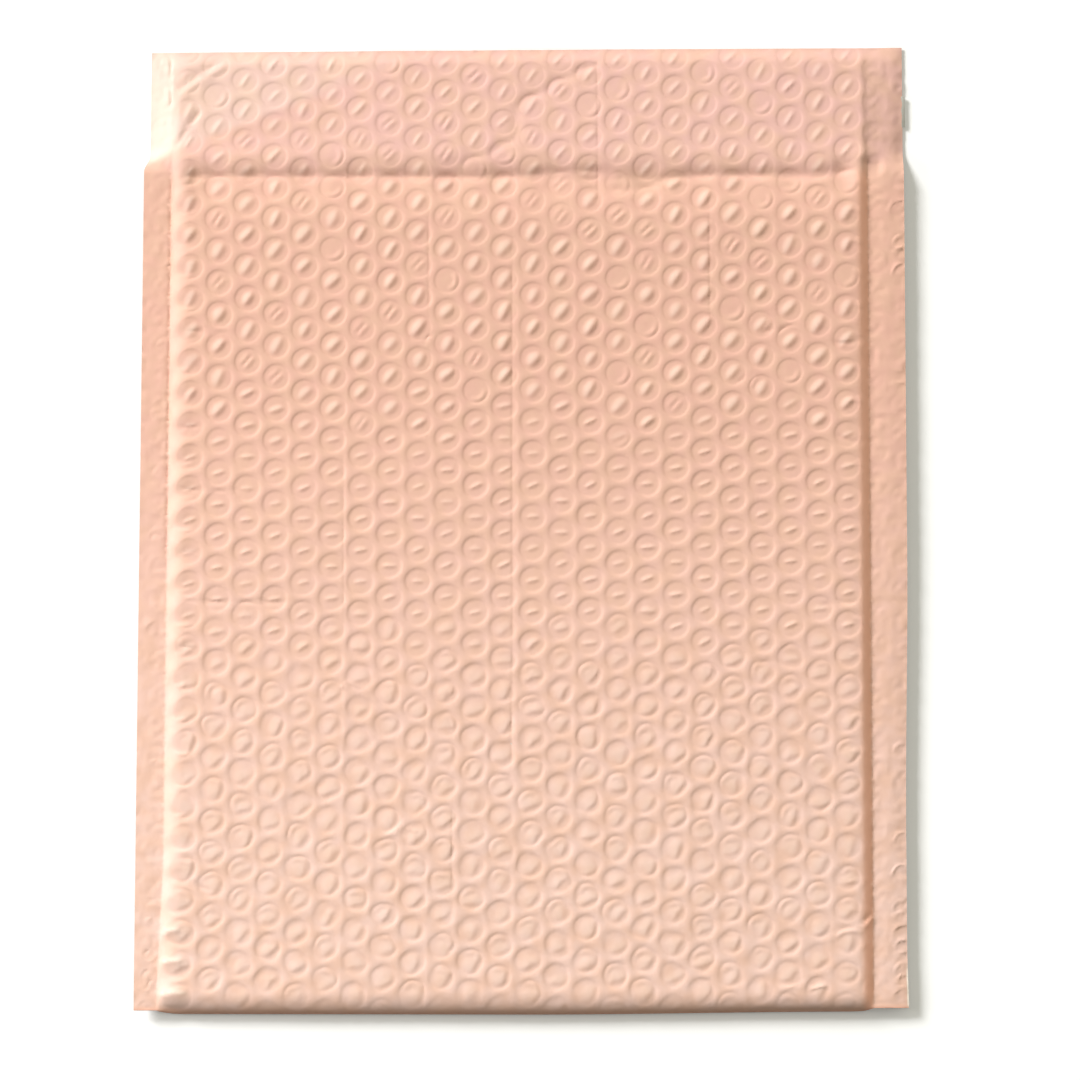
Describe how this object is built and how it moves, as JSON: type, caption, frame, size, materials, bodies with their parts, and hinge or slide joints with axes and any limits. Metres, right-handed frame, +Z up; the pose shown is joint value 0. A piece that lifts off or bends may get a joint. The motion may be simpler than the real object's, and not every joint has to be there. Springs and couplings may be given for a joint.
{
  "type": "bubble-lined poly mailer",
  "caption": "Flat padded film mailer with air cells that show through its outer film, welded side seals, a folded bottom and an open flap with a lined adhesive strip; holds small goods.",
  "frame": {"origin": "centre of the bounding box, on the table that the mailer lies on", "axes": "+Y from the bottom fold towards the flap, +X across the mailer, +Z up out of the back panel"},
  "size_m": [0.2426, 0.305, 0.0066],
  "materials": {
    "film": "satin peach-pink polyethylene film over air cells",
    "adhesive": "glossy pale hot-melt adhesive",
    "liner": "smooth white silicone-coated strip"
  },
  "bodies": {
    "root": {"mailer": "film", "adhesive_strip": "adhesive", "release_liner": "liner"}
  },
  "joints": []
}
